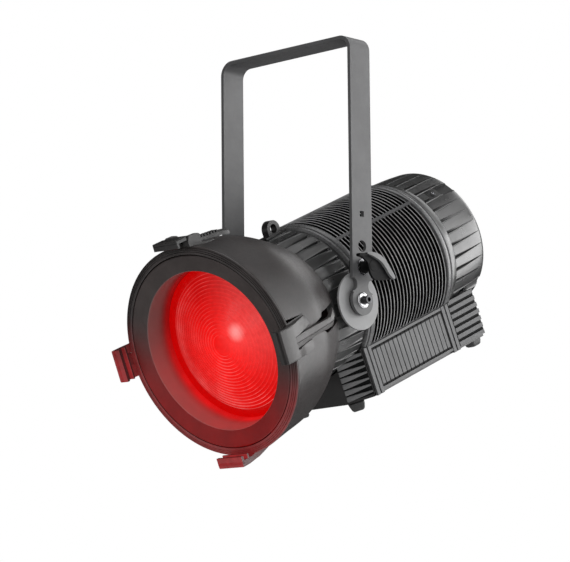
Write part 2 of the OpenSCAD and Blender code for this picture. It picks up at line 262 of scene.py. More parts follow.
def coat(name, base, rough=0.42, grain=1400, relief=0.25, vary=0.35, spec=0.5, wash=0.0, cavity=None,
         edges=()):
    """Coated metal or moulded plastic with fine relief and drifting tone and sheen.

    cavity: (what, low, high) paints shade, near black and matt, on what lies below low, as on groove floors
    and
    between slats: "x" across the part, "r" from the axis, "c" on the cap.
    edges: (coordinate, dark, light) paints the same shade on what lies beyond a border.
    wash: strength of the painted red glow of the lens's light, see glow_wash.
    """
    mat, nt, p = tree(name)
    dark = tuple(c * (1 - vary) for c in base)
    light = tuple(c * (1 + vary) for c in base)
    col = mixed(nt, maprange(nt, noise(nt, 22, 5, 0.6), 0.3, 0.7, 0, 1), dark, light)
    if cavity:
        r, a, x, v = head_coords(nt)
        depth = {"x": lambda: maths(nt, "ABSOLUTE", x), "r": lambda: r,
                 "c": lambda: maths(nt, "SUBTRACT", r,
                                    maths(nt, "MULTIPLY", maths(nt, "ADD", a, 236), 0.045))}
        raised = maprange(nt, depth[cavity[0]](), cavity[1], cavity[2], 0, 1)
        for what, c0, c1 in edges:
            raised = product(nt, raised, maprange(nt, {"a": a, "v": v}[what], c0, c1, 0, 1))
        # Painted shade: hollows turn near black and matt.
        col = mixed(nt, raised, HOLLOW_SHADE, col)
        matt = maths(nt, "MULTIPLY", maths(nt, "SUBTRACT", 1, raised), 0.45)
        drift = maprange(nt, noise(nt, 60, 3, 0.5), 0.3, 0.7, -0.02, 0.03)
        sheen = maths(nt, "ADD", maths(nt, "ADD", matt, rough), drift)
    else:
        sheen = maprange(nt, noise(nt, 240, 4, 0.6), 0.3, 0.7, rough - 0.03, rough + 0.05)
    # Painted red glow: emission standing in for the lens's light falling on the surface.
    if wash:
        glow_wash(nt, p, wash)
    nt.links.new(col, p.inputs["Base Color"])
    nt.links.new(sheen, p.inputs["Roughness"])
    p.inputs["Specular IOR Level"].default_value = spec
    bump(nt, p, noise(nt, grain, 2, 0.5), relief, 0.0002)
    return mat


def metal(name, base, rough, relief):
    """Bare metal, slightly uneven in tone and polish."""
    mat, nt, p = tree(name)
    p.inputs["Metallic"].default_value = 1.0
    col = mixed(nt, maprange(nt, noise(nt, 120, 4), 0.3, 0.7, 0, 1), tuple(c * 0.8 for c in base), base)
    nt.links.new(col, p.inputs["Base Color"])
    nt.links.new(maprange(nt, noise(nt, 300, 3), 0.3, 0.7, rough - 0.06, rough + 0.08), p.inputs["Roughness"])
    bump(nt, p, noise(nt, 900, 2, 0.5), relief, 0.0002)
    return mat


def fin_material(name, base, edge):
    """Anodised fins: black faces, with the rim painted lighter as a highlight where it catches the light."""
    mat, nt, p = tree(name)
    r = head_coords(nt)[0]
    # Painted highlight on the outer rim.
    rim = product(nt, maprange(nt, r, 109.7, 110.3, 0, 1), maprange(nt, noise(nt, 90, 4), 0.25, 0.6, 0.45, 1))
    nt.links.new(mixed(nt, rim, base, edge), p.inputs["Base Color"])
    nt.links.new(maths(nt, "SUBTRACT", 0.62, maths(nt, "MULTIPLY", rim, 0.3)), p.inputs["Roughness"])
    p.inputs["Specular IOR Level"].default_value = 0.3
    bump(nt, p, noise(nt, 1600, 2), 0.15, 0.0002)
    return mat


LENS_R, LENS_CENTRE_R, LENS_RINGS = 98, 15, 17       # stepped zone of the lens, from its flat centre outwards
LENS_PITCH = (LENS_R - LENS_CENTRE_R) / LENS_RINGS
HOT_SPOT = (31.0, 15.0)                                # centre of the painted hot spot on the lens, (x, v)


def lens_material(name):
    """Pressed stepped glass lit from behind, brightest in the middle, with painted highlights: a hot spot off
    centre with a halo, bright lines along the ring steps and a reflection on the right; the steps' risers get
    painted shade.
    """
    mat, nt, p = tree(name)
    r, a, x, v = head_coords(nt)
    ripple = noise(nt, 140, 3, 0.5)
    inner = maprange(nt, r, 4, 100, 1.0, 0.0, False)
    inner = maths(nt, "ADD", inner, maprange(nt, maths(nt, "SUBTRACT", x, v), -110, 60, -0.2, 0.25))
    inner.node.use_clamp = True
    col = mixed(nt, inner, (0.42, 0.003, 0.003), (0.76, 0.005, 0.004))
    col = mixed(nt, maprange(nt, r, 97.2, 98.4, 0, 1), col, (0.42, 0.0, 0.0))

    beat = maths(nt, "FRACT", maths(nt, "DIVIDE", maths(nt, "SUBTRACT", r, LENS_CENTRE_R), LENS_PITCH))
    across = maths(nt, "ADD", x, maths(nt, "MULTIPLY", v, -0.35))
    # Painted highlights along the ring steps, stronger to one side.
    line = product(nt, maprange(nt, beat, 0.02, 0.2, 1, 0), maprange(nt, r, 12, 17, 0, 1),
                   maprange(nt, noise(nt, 26, 3, 0.6), 0.35, 0.65, 0.45, 1.2), maprange(nt, r, 98, 99, 1, 0),
                   maprange(nt, r, 70, 92, 1.0, 2.3), maprange(nt, across, -80, 80, 0.10, 0.46))
    col = mixed(nt, line, col, (0.95, 0.26, 0.25))
    # Painted shade on each step's riser.
    groove = product(nt, maprange(nt, beat, 0.80, 1.0, 0, 0.28), maprange(nt, r, 96, 98, 1, 0))
    col = mixed(nt, groove, col, (0.32, 0.0, 0.0))

    # Painted hot spot and its halo.
    d = apart(nt, maths(nt, "SUBTRACT", x, HOT_SPOT[0]), maths(nt, "SUBTRACT", v, HOT_SPOT[1]))
    col = mixed(nt, maths(nt, "MULTIPLY", maprange(nt, d, 1, 17, 1, 0), 0.8), col, (0.95, 0.42, 0.40))
    col = mixed(nt, maprange(nt, d, 5, 40, 0.12, 0), col, (0.95, 0.20, 0.19))
    # Painted reflection on the right of the lens.
    sheen = product(nt, maprange(nt, x, -30, 95, 0, 0.2), maprange(nt, v, -90, 40, 0, 1))
    col = mixed(nt, sheen, col, (0.9, 0.30, 0.29))

    p.inputs["Base Color"].default_value = (0.35, 0.004, 0.004, 1)
    nt.links.new(col, p.inputs["Emission Color"])
    front = maprange(nt, a, 138, 141.5, 0, 1)
    nt.links.new(product(nt, maprange(nt, ripple, 0.3, 0.7, 0.86, 1.0), front), p.inputs["Emission Strength"])
    nt.links.new(maprange(nt, ripple, 0.3, 0.7, 0.16, 0.26), p.inputs["Roughness"])
    p.inputs["Specular IOR Level"].default_value = 0.12
    bump(nt, p, noise(nt, 260, 2), 0.05, 0.0004)
    return mat


def bezel_material(name):
    """Dark warm plastic of the recess, with painted red light from the lens: emission up its wall and on the
    lower left of its face, and the base painted darker and redder there and near the lens.
    """
    mat, nt, p = tree(name)
    r, a, x, v = head_coords(nt)
    tone = maprange(nt, noise(nt, 26, 5, 0.6), 0.3, 0.7, 0, 1)
    face = mixed(nt, tone, (0.046, 0.035, 0.033), (0.066, 0.051, 0.048))
    wall = maprange(nt, r, 113.9, 114.6, 1, 0)
    low = maprange(nt, lower_left(nt, x, v), -30, 110, 0, 1)
    near = maprange(nt, a, 142, 165, 1, 0)
    # Painted shade and red light: the face darker and redder towards the lower left.
    face = mixed(nt, low, face, (0.016, 0.004, 0.004))
    # Painted red light: the wall's base turns dark red near the lens, under its painted glow.
    wall_tone = mixed(nt, near, (0.20, 0.145, 0.138), (0.05, 0.002, 0.002))
    nt.links.new(mixed(nt, wall, face, wall_tone), p.inputs["Base Color"])
    nt.links.new(maprange(nt, noise(nt, 70, 4), 0.3, 0.7, 0.36, 0.5), p.inputs["Roughness"])
    # Painted red glow up the wall, strongest near the lens and to the lower left.
    soak = product(nt, near, near, maprange(nt, low, 0, 1, 0.22, 0.42))
    soak = maths(nt, "ADD", soak, maths(nt, "MULTIPLY", low, 0.2))
    soak = maths(nt, "MULTIPLY", maths(nt, "ADD", soak, 0.012), wall)
    # Painted red glow on the lower left of the front face where it faces forward.
    rim = product(nt, maths(nt, "SUBTRACT", 1, wall), maths(nt, "MULTIPLY", low, 0.17),
                  maprange(nt, facing(nt), 0.2, 0.6, 0, 1))
    drift = maprange(nt, noise(nt, 30, 4), 0.3, 0.7, 0.85, 1.1)
    p.inputs["Emission Color"].default_value = (1, 0.010, 0.011, 1)
    nt.links.new(maths(nt, "MULTIPLY", maths(nt, "ADD", soak, rim), drift), p.inputs["Emission Strength"])
    bump(nt, p, noise(nt, 1500, 2), 0.22, 0.0002)
    return mat


def glass_material(name, colour):
    """Polished pane."""
    mat, nt, p = tree(name)
    p.inputs["Base Color"].default_value = (*colour, 1)
    nt.links.new(maprange(nt, noise(nt, 60, 4), 0.3, 0.7, 0.05, 0.10), p.inputs["Roughness"])
    p.inputs["Coat Weight"].default_value = 1.0
    bump(nt, p, noise(nt, 30, 2), 0.03, 0.0005)
    return mat


MATS = {
    "coat_yoke": coat("coat_yoke", (0.105, 0.105, 0.1075), 0.46, 1300, 0.6, 0.12, 0.5),
    "coat_casting": coat("coat_casting", (0.018, 0.0165, 0.0165), 0.31, 1500, 0.4, 0.3, 0.55),
    "anodised_black": fin_material("anodised_black", (0.0015, 0.0015, 0.0016), (0.34, 0.34, 0.345)),
    "anodised_edge": coat("anodised_edge", (0.060, 0.060, 0.062), 0.38, 1500, 0.2, 0.15, 0.6),
    "black_plastic": coat("black_plastic", (0.022, 0.021, 0.021), 0.42, 1700, 0.3, 0.25, 0.5),
    "rubber": coat("rubber", (0.012, 0.012, 0.012), 0.62, 1200, 0.35, 0.2, 0.35),
    "lens_glass": lens_material("lens_glass"),
    "clear_glass": glass_material("clear_glass", (0.5, 0.55, 0.58)),
    "display_glass": glass_material("display_glass", (0.006, 0.009, 0.014)),
    "bright_steel": metal("bright_steel", (0.72, 0.72, 0.74), 0.2, 0.1),
    "dark_steel": metal("dark_steel", (0.10, 0.10, 0.105), 0.34, 0.15),
    # hood_coat, side_bracket, front_coat and bracket_coat carry the painted red glow of the lens's light.
    "hood_coat": coat("hood_coat", (0.021, 0.0165, 0.016), 0.40, 900, 0.5, 0.3, 0.5, wash=0.03),
    # Lighter copy of the bracket coat for the right bracket, painted light.
    "side_bracket": coat("side_bracket", (0.040, 0.036, 0.0355), 0.36, 1500, 0.3, 0.2, 0.5, wash=0.1),
    # Lighter, warmer copy of the casting coat for the front ring, painted light.
    "front_coat": coat("front_coat", (0.050, 0.042, 0.041), 0.38, 1500, 0.3, 0.25, 0.5, wash=0.17),
    "bracket_coat": coat("bracket_coat", (0.028, 0.026, 0.026), 0.38, 1500, 0.3, 0.25, 0.5, wash=0.27),
    # cap_coat and casting_coat paint shade on the floors of their grooves.
    "cap_coat": coat("cap_coat", (0.030, 0.030, 0.030), 0.29, 1500, 0.1, 0.2, 0.95,
                     cavity=("c", 101.6, 103.9)),
    "casting_coat": coat("casting_coat", (0.026, 0.026, 0.026), 0.29, 1500, 0.1, 0.2, 0.95,
                         cavity=("r", 102.6, 104.4)),
    # slats and ribs paint shade into the hollows between them, slats also past their field's borders.
    "slats": coat("slats", (0.095, 0.095, 0.097), 0.42, 1500, 0.25, 0.15, 0.5, cavity=("x", 76.7, 77.3),
                  edges=SLAT_EDGES),
    "ribs": coat("ribs", (0.065, 0.065, 0.067), 0.42, 1500, 0.25, 0.15, 0.5, cavity=("x", 76.9, 78.2)),
    "strap_coat": coat("strap_coat", (0.10, 0.10, 0.102), 0.42, 1500, 0.25, 0.2, 0.5),
    # Lighter copy of the black plastic for the louvres, painted light on their ridges.
    "louvres": coat("louvres", (0.13, 0.13, 0.132), 0.42, 1500, 0.25, 0.2, 0.5),
    # Near black for gaps; on the friction washers and behind the louvres it is painted shade.
    "gap_black": coat("gap_black", (0.0015, 0.0015, 0.0016), 0.8, 1500, 0.2, 0.1, 0.2),
    "fin_black": coat("fin_black", (0.0012, 0.0012, 0.0013), 0.85, 900, 0.2, 0.2, 0.08),
    # Light grey of the fin rims, a painted highlight where they catch the light.
    "fin_rim": coat("fin_rim", (0.45, 0.45, 0.455), 0.34, 700, 0.5, 0.35, 0.5),
    # Lighter copy of the anodised edge for the flanges, painted light.
    "flange_coat_lit": coat("flange_coat_lit", (0.11, 0.11, 0.112), 0.27, 1500, 0.2, 0.2, 0.6),
    "foot_rubber": coat("foot_rubber", (0.05, 0.05, 0.05), 0.5, 1200, 0.4, 0.2, 0.4),
    # Painted shade: near black for the lever's recessed web and hub.
    "lever_web_shade": coat("lever_web_shade", (0.0025, 0.0025, 0.0026), 0.55, 1500, 0.3, 0.3, 0.12),
    # Lighter copy of the yoke coat for the friction discs, painted light.
    "disc_coat_lit": coat("disc_coat_lit", (0.31, 0.31, 0.314), 0.44, 1300, 0.5, 0.12, 0.5),
    # Lighter copy of the black plastic for the lever's rim, painted light.
    "lever_rim_lit": coat("lever_rim_lit", (0.17, 0.17, 0.172), 0.4, 1500, 0.3, 0.2, 0.5),
    "button_metal": metal("button_metal", (0.55, 0.55, 0.57), 0.3, 0.2),
    "panel_coat": coat("panel_coat", (0.030, 0.030, 0.032), 0.45, 1500, 0.3, 0.2, 0.5),
    "aluminium": metal("aluminium", (0.7, 0.7, 0.72), 0.3, 0.15),
    "board_white": coat("board_white", (0.7, 0.7, 0.66), 0.5, 900, 0.1, 0.1),
    "phosphor": coat("phosphor", (0.7, 0.5, 0.12), 0.4, 900, 0.1, 0.1),
    "board_green": coat("board_green", (0.02, 0.12, 0.05), 0.4, 900, 0.1, 0.2),
    "inlet_blue": coat("inlet_blue", (0.02, 0.07, 0.22), 0.42, 1500, 0.2, 0.15),
    "outlet_grey": coat("outlet_grey", (0.30, 0.31, 0.32), 0.45, 1500, 0.2, 0.1),
}
BEZEL = bezel_material("bezel_plastic")
for part in frame["record"]["subparts"]:
    data = nodes[part["node"]].data
    data.materials.clear()
    data.materials.append(MATS[part["material_slot"]])


def dress(mat, *names):
    for n in names:
        nodes[n].data.materials[0] = MATS[mat] if isinstance(mat, str) else mat


dress("slats", "side_grilles")
dress("ribs", "rear_covers")
dress("strap_coat", "box_straps")
dress("gap_black", "lens_seal")
dress(BEZEL, "lens_holder")
# The friction discs take a lighter copy of the yoke coat, painted light.
dress("disc_coat_lit", "friction_discs")
# The friction washers are painted near black, as shade between disc and tab.
dress("gap_black", "friction_washers")


# ---------------------------------------------------------------- mesh helpers
def fillet(points, radius, seg=4):
    """Rounds the corners of a closed outline. radius is one number or one for each corner."""
    out = []
    n = len(points)
    for i, c in enumerate(points):
        rad = radius[i] if isinstance(radius, (list, tuple)) else radius
        c = Vector(c)
        p, q = Vector(points[i - 1]) - c, Vector(points[(i + 1) % n]) - c
        if rad <= 0 or p.length < 1e-6 or q.length < 1e-6:
            out.append(tuple(c))
            continue
        turn = p.angle(q, 0)
        d = min(rad / max(math.tan(turn / 2), 1e-3), 0.45 * p.length, 0.45 * q.length)
        a, b = c + p.normalized() * d, c + q.normalized() * d
        for k in range(seg + 1):
            t = k / seg
            out.append(tuple(a * (1 - t) ** 2 + c * (2 * t * (1 - t)) + b * t * t))
    return out


def polygon(radius, n):
    step = 2 * math.pi / n
    return [(radius * math.cos(step * k), radius * math.sin(step * k)) for k in range(n)]


def lathe(bm, profile, n=256):
    """Turns a closed (r, a) outline about the axis."""
    rings = [[bm.verts.new((r * math.cos(2 * math.pi * k / n), r * math.sin(2 * math.pi * k / n), a))
              for k in range(n)] for r, a in profile]
    for i, ring in enumerate(rings):
        nxt = rings[(i + 1) % len(rings)]
        for k in range(n):
            bm.faces.new((ring[k], ring[(k + 1) % n], nxt[(k + 1) % n], nxt[k]))
    return bm


def prism(bm, outline, h0, h1, place=None, bevel=0.0, seg=2):
    """Extrudes an outline (u, w) from h0 to h1 and rounds its edges; place maps (u, w, h) into the part."""
    place = place or Matrix.Identity(4)
    lo = [bm.verts.new((u, w, h0)) for u, w in outline]
    hi = [bm.verts.new((u, w, h1)) for u, w in outline]
    n = len(outline)
    faces = [bm.faces.new(lo[::-1]), bm.faces.new(hi)]
    for i in range(n):
        faces.append(bm.faces.new((lo[i], lo[(i + 1) % n], hi[(i + 1) % n], hi[i])))
    verts = lo + hi
    if bevel:
        edges = {e for f in faces for e in f.edges if e.calc_face_angle(0) > 0.5}
        res = bmesh.ops.bevel(bm, geom=list(edges), offset=bevel, segments=seg, profile=0.5, affect="EDGES",
                              clamp_overlap=True)
        verts = {v for v in verts if v.is_valid} | set(res["verts"])
    bmesh.ops.transform(bm, matrix=place, verts=list(verts))
    return bm


def loft(bm, sections):
    """Joins closed outlines, lists of 3-D points with the same number of points, and caps the ends."""
    rings = [[bm.verts.new(p) for p in sec] for sec in sections]
    m = len(rings[0])
    for p, q in zip(rings, rings[1:]):
        for k in range(m):
            bm.faces.new((p[k], p[(k + 1) % m], q[(k + 1) % m], q[k]))
    bm.faces.new(rings[0][::-1])
    bm.faces.new(rings[-1])


def merge(bm, part, place):
    """Moves a mesh into place and adds it to another."""
    bmesh.ops.transform(part, matrix=place, verts=part.verts)
    me = bpy.data.meshes.new("part")
    part.to_mesh(me)
    part.free()
    bm.from_mesh(me)
    bpy.data.meshes.remove(me)


def columns(u, w, h, origin=(0, 0, 0)):
    """The placement whose axes are u, w and h."""
    m = Matrix((Vector(u), Vector(w), Vector(h))).transposed().to_4x4()
    m.translation = Vector(origin)
    return m


AV_X = columns((0, 0, 1), (0, 1, 0), (1, 0, 0))     # outline in (a, v), thickness along x
YZ_X = columns((0, 1, 0), (0, 0, 1), (1, 0, 0))     # yoke: outline in (y, z), thickness along x


def spun(deg):
    return Matrix.Rotation(math.radians(deg), 4, "Z")


def piece(name, bm, slot, body, replaces, space=HEAD, mat=None, sharp=32):
    """Makes an object that rides a body and takes a CAD node's place."""
    bmesh.ops.remove_doubles(bm, verts=bm.verts, dist=1e-4)
    bmesh.ops.recalc_face_normals(bm, faces=bm.faces)
    me = bpy.data.meshes.new(name)
    bmesh.ops.transform(bm, matrix=space, verts=bm.verts)
    bm.to_mesh(me)
    bm.free()
    me.materials.append(mat or MATS[slot])
    me.shade_smooth()
    me.set_sharp_from_angle(angle=math.radians(sharp))
    o = bpy.data.objects.new(name, me)
    scene.collection.objects.link(o)
    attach(o, body)
    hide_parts(replaces)
    return o


def soften(name, width):
    """Rounds the hard edges of a CAD node that keeps its own shape; width in mm."""
    o = nodes[name]
    d = o.modifiers.new("flatten", "DECIMATE")
    d.decimate_type = "DISSOLVE"
    d.angle_limit = math.radians(0.6)
    b = o.modifiers.new("round", "BEVEL")
    b.width = width / 1000
    b.segments = 2
    b.limit_method = "ANGLE"
    b.angle_limit = math.radians(28)
    b.harden_normals = True
    o.data.shade_smooth()


def smooth_curve(points, per=6):
    """A smooth line through open points."""
    out = []
    pts = [Vector(p) for p in points]
    for i in range(len(pts) - 1):
        p0, p1, p2, p3 = pts[max(i - 1, 0)], pts[i], pts[i + 1], pts[min(i + 2, len(pts) - 1)]
        for k in range(per):
            t = k / per
            out.append(tuple(0.5 * ((2 * p1) + (p2 - p0) * t + (2 * p0 - 5 * p1 + 4 * p2 - p3) * t * t
                                    + (3 * p1 - p0 - 3 * p2 + p3) * t ** 3)))
    out.append(tuple(pts[-1]))
    return out


def cut(o, bm, space=HEAD):
    """Takes a shape out of a piece for good."""
    bmesh.ops.recalc_face_normals(bm, faces=bm.faces)
    me = bpy.data.meshes.new("cutter")
    bmesh.ops.transform(bm, matrix=space, verts=bm.verts)
    bm.to_mesh(me)
    bm.free()
    c = bpy.data.objects.new("cutter", me)
    scene.collection.objects.link(c)
    m = o.modifiers.new("cut", "BOOLEAN")
    m.operation = "DIFFERENCE"
    m.solver = "EXACT"
    m.object = c
    bpy.context.view_layer.update()
    done = bpy.data.meshes.new_from_object(o.evaluated_get(bpy.context.evaluated_depsgraph_get()))
    o.modifiers.remove(m)
    bpy.data.objects.remove(c)
    o.data = done
    o.data.shade_smooth()
    o.data.set_sharp_from_angle(angle=math.radians(32))


# ---------------------------------------------------------------- hood, ring and recess
BELL = [(105.9, 38), (120.5, 62), (135, 92), (142, 115), (146, 150), (150, 182.5)]     # (r, a) of the outside
WALL = 3
TURNS = {"right": -2.0, "left": 178.0, "top": 88.0, "bottom": 268.0}                   # brackets, in degrees


def hood():
    outer = smooth_curve(BELL, 7)
    inner = [(r - WALL, a) for r, a in outer][::-1]
    o = piece("hood_skin", lathe(bmesh.new(), outer + inner), "coat_casting", "head", replaces="hood_shell",
              mat=MATS["hood_coat"])
    cutter = bmesh.new()
    pocket = fillet([(30, 14), (100, 15), (106, 10), (118, 8), (166, 3), (166, -3), (118, -8), (106, -10),
                     (100, -15), (30, -14)], 2.5, 3)
    wedge = [(186, 25.5), (142, 26.8), (186, 30.5)]
    for q in TURNS.values():
        prism(cutter, pocket, 96, 165, spun(q) @ AV_X)
        prism(cutter, wedge, 140, 165, spun(q) @ AV_X)
    cut(o, cutter)

    rings = [(138.7, 183.05), (150, 183.05), (150, 184.6), (149.2, 185.4), (148.3, 185.9), (148.0, 185.0),
             (147.2, 185.0), (146.9, 186.5), (145.9, 186.9), (145.6, 185.9), (144.8, 185.9), (144.5, 187.2),
             (143.4, 187.4), (143.1, 186.4), (142.3, 186.4), (142.0, 187.7), (140.6, 188), (139.3, 187.9),
             (138.7, 187.3)]
    # The ring takes a lighter copy of the casting coat, painted light, with the painted red glow.
    piece("rim_ring", lathe(bmesh.new(), rings), "coat_casting", "head", replaces="front_ring",
          mat=MATS["front_coat"], sharp=40)

    prof = fillet([(113.7, 183), (115.2, 184.1), (136.2, 187.6), (137.4, 186.9), (137.3, 184.6),
                   (116.6, 180.4), (115, 143.5), (112.2, 143.5)], [0.9, 0.6, 0.5, 0.4, 0.3, 0.3, 0.2, 0.2], 3)
    piece("recess_bezel", lathe(bmesh.new(), prof), "black_plastic", "head", replaces="bezel", mat=BEZEL)


hood()


def lens():
    def dome(r):
        return 142 + 20 * (1 - (r / LENS_R) ** 2)
    step = LENS_PITCH
    prof = [(0.02, 134), (110, 134), (110, 141.5), (109.5, 142), (99.2, 142), (98.4, 141.8)]
    for i in reversed(range(LENS_RINGS)):
        r = LENS_CENTRE_R + i * step
        prof += [(r + step - 0.3, dome(r + step) - 1.2), (r + step * 0.66, dome(r + step * 0.66) - 0.1),
                 (r + step * 0.3, dome(r + step * 0.3) + 0.75), (r + 0.9, dome(r) + 1.05),
                 (r + 0.45, dome(r) + 0.8), (r + 0.1, dome(r) - 1.0)]
    prof += [(14.4, dome(15) - 0.6), (12, dome(12) - 0.2), (8, dome(8) + 0.3), (4, dome(4) + 0.45),
             (0.02, dome(0) + 0.5)]
    piece("stepped_lens", lathe(bmesh.new(), prof), "lens_glass", "head", replaces="lens", sharp=50)


lens()


# ---------------------------------------------------------------- front casting and rear cap
GROOVES = 36                          # round the casting and round the cap
PITCH_DEG = 360 / GROOVES


def grooved(outer, inner, first_deg, cols):
    """A turned shell with tapered grooves outside. outer and inner are (r, a) points of one closed outline.

    cols(a): (sideways, height) points across one groove, in mm; cols(None) is for the plain inside.
    """
    bm = bmesh.new()
    grooves = [first_deg + PITCH_DEG * i for i in range(GROOVES)]
    rings = []
    for r, a, outside in [(r, a, True) for r, a in outer] + [(r, a, False) for r, a in inner]:
        ring = []
        for i, g in enumerate(grooves):
            nxt = grooves[(i + 1) % GROOVES] + (360 if i == GROOVES - 1 else 0)
            for w, dr in cols(a) if outside else [(u, 0.0) for u, _ in cols(None)]:
                t = math.radians(g) + w / r
                ring.append(bm.verts.new(((r + dr) * math.cos(t), (r + dr) * math.sin(t), a)))
            start, end = math.radians(g) + cols(a)[-1][0] / r, math.radians(nxt) + cols(a)[0][0] / r
            for k in (1, 2):
                t = start + (end - start) * k / 3
                ring.append(bm.verts.new((r * math.cos(t), r * math.sin(t), a)))
        rings.append(ring)
    m = len(rings[0])
    for i, ring in enumerate(rings):
        nxt = rings[(i + 1) % len(rings)]
        for k in range(m):
            bm.faces.new((ring[k], ring[(k + 1) % m], nxt[(k + 1) % m], nxt[k]))
    return bm


def taper(a, a0, a1, wide, narrow):
    """Place along a groove from 0 to 1, and its half width there."""
    t = 0.0 if a is None else max(0.0, min(1.0, (a - a0) / (a1 - a0)))
    return t, wide * (1 - t) + narrow * t


def casting():
    a0, a1, first = -18.5, 34.0, 2

    def cols(a):
        t, w = taper(a, a0, a1, 2.7, 0.4)
        on = 1.0 if a is not None and a0 <= a <= a1 + 3 else 0.0
        deep = -3.8 * (1 - 0.85 * t) * on
        lip = 1.0 * (1 - 0.6 * t) * on
        return [(-w * 2.2, 0.0), (-w * 1.55, lip * 0.3), (-w * 1.2, lip), (-w * 0.95, lip * 0.6),
                (-w * 0.4, deep), (w * 0.6, deep), (w * 0.95, lip * 0.6), (w * 1.2, lip),
                (w * 1.5, lip * 0.3), (w * 2.2, 0.0)]
    outer = [(105.0, -23.7), (105.0, -21.5), (105.0, -18.6), (105.2, -18.5), (105.3, -14), (105.3, -6),
             (105.3, 2), (105.2, 10), (105.1, 18), (104.6, 25), (104.2, 30), (103.9, 33), (103.6, 37),
             (102.6, 38.2), (102.5, 50)]
    bm = grooved(outer, [(99.2, 50), (99.2, -23.7)], first, cols)
    boss = polygon(24, 48)
    for s in (1, -1):
        place = columns((0, 0, 1), (0, 1, 0), (s, 0, 0), (0, -5.3, 0))
        prism(bm, boss, 98, 113.4, place, 1.2)
        prism(bm, [(u * 1.28, w * 1.28) for u, w in boss], 98, 107.5, place, 1.5)
    for i in range(GROOVES):
        dome = bmesh.ops.create_uvsphere(bm, u_segments=10, v_segments=6, radius=1.5)["verts"]
        place = spun(first + PITCH_DEG * i) @ Matrix.Translation((104.3, 0, -15.5))
        bmesh.ops.transform(bm, matrix=place, verts=dome)
    piece("front_casting_skin", bm, "coat_casting", "head", replaces="front_casting",
          mat=MATS["casting_coat"])


casting()


def rear():
    a0, a1 = -236.0, -301.0

    def cols(a):
        t, w = taper(a, a0, a1, 1.9, 0.4)
        on = 1.0 if a is not None and a1 - 1 <= a <= a0 else 0.0
        deep = -4.0 * (1 - 0.85 * t) * on
        lip = 0.45 * (1 - 0.5 * t) * on
        return [(-w * 2.9, 0.0), (-w * 2.3, 0.0), (-w * 2.1, -lip), (-w * 1.8, lip * 0.6), (-w * 1.5, lip),
                (-w * 0.95, -lip * 2), (-w * 0.65, deep), (w * 0.8, deep), (w * 1.0, 0.0), (w * 1.5, 0.0)]
    outer = [(107, -222.5), (107, -233.2), (106.4, -234.3), (105.6, -235.9), (105.5, -236), (105.4, -240),
             (105.2, -248), (105, -256), (104.7, -264), (104.4, -272), (104.0, -280), (103.6, -288),
             (102.9, -296), (102.2, -303), (101.6, -306), (100, -309.2), (98.2, -311.1), (96.5, -311.9)]
    inner = [(93, -311.9), (96, -305), (96, -290), (96.3, -286), (97.5, -222.5)]
    bm = grooved(outer, inner, 1, cols)
    o = piece("rear_cap_skin", bm, "coat_casting", "head", replaces="rear_cap", mat=MATS["cap_coat"],
              sharp=30)
    shallow = [(-7, 100.6), (7, 100.6), (9.5, 120), (-9.5, 120)]
    through = [(-8.5, 97.3), (5, 97.3), (10.5, 101), (12, 120), (-9.5, 120)]
    for outline, start in ((shallow, 252), (through, 281)):
        cutter = bmesh.new()
        for q in (45, 135, 225, 315):
            prism(cutter, outline, start, 330, spun(q - 90) @ columns((1, 0, 0), (0, 1, 0), (0, 0, -1)))
        cut(o, cutter)


rear()


# ---------------------------------------------------------------- brackets round the hood
def ribbon(bm, place, stations, c=0.9):
    """Lofts a chamfered bar. A station is (along, side low, side high, bottom, top at low, top at high)."""
    sections = []
    for a, lo, hi, rb, tl, th in stations:
        k = min(c, (hi - lo) * 0.3)
        sections.append([place @ Vector((r, v, a)) for r, v in
                         ((rb, lo), (tl - k, lo), (tl - 0.3 * k, lo + 0.3 * k), (tl, lo + k), (th, hi - k),
                          (th - 0.3 * k, hi - 0.3 * k), (th - k, hi), (rb, hi))])
    loft(bm, sections)


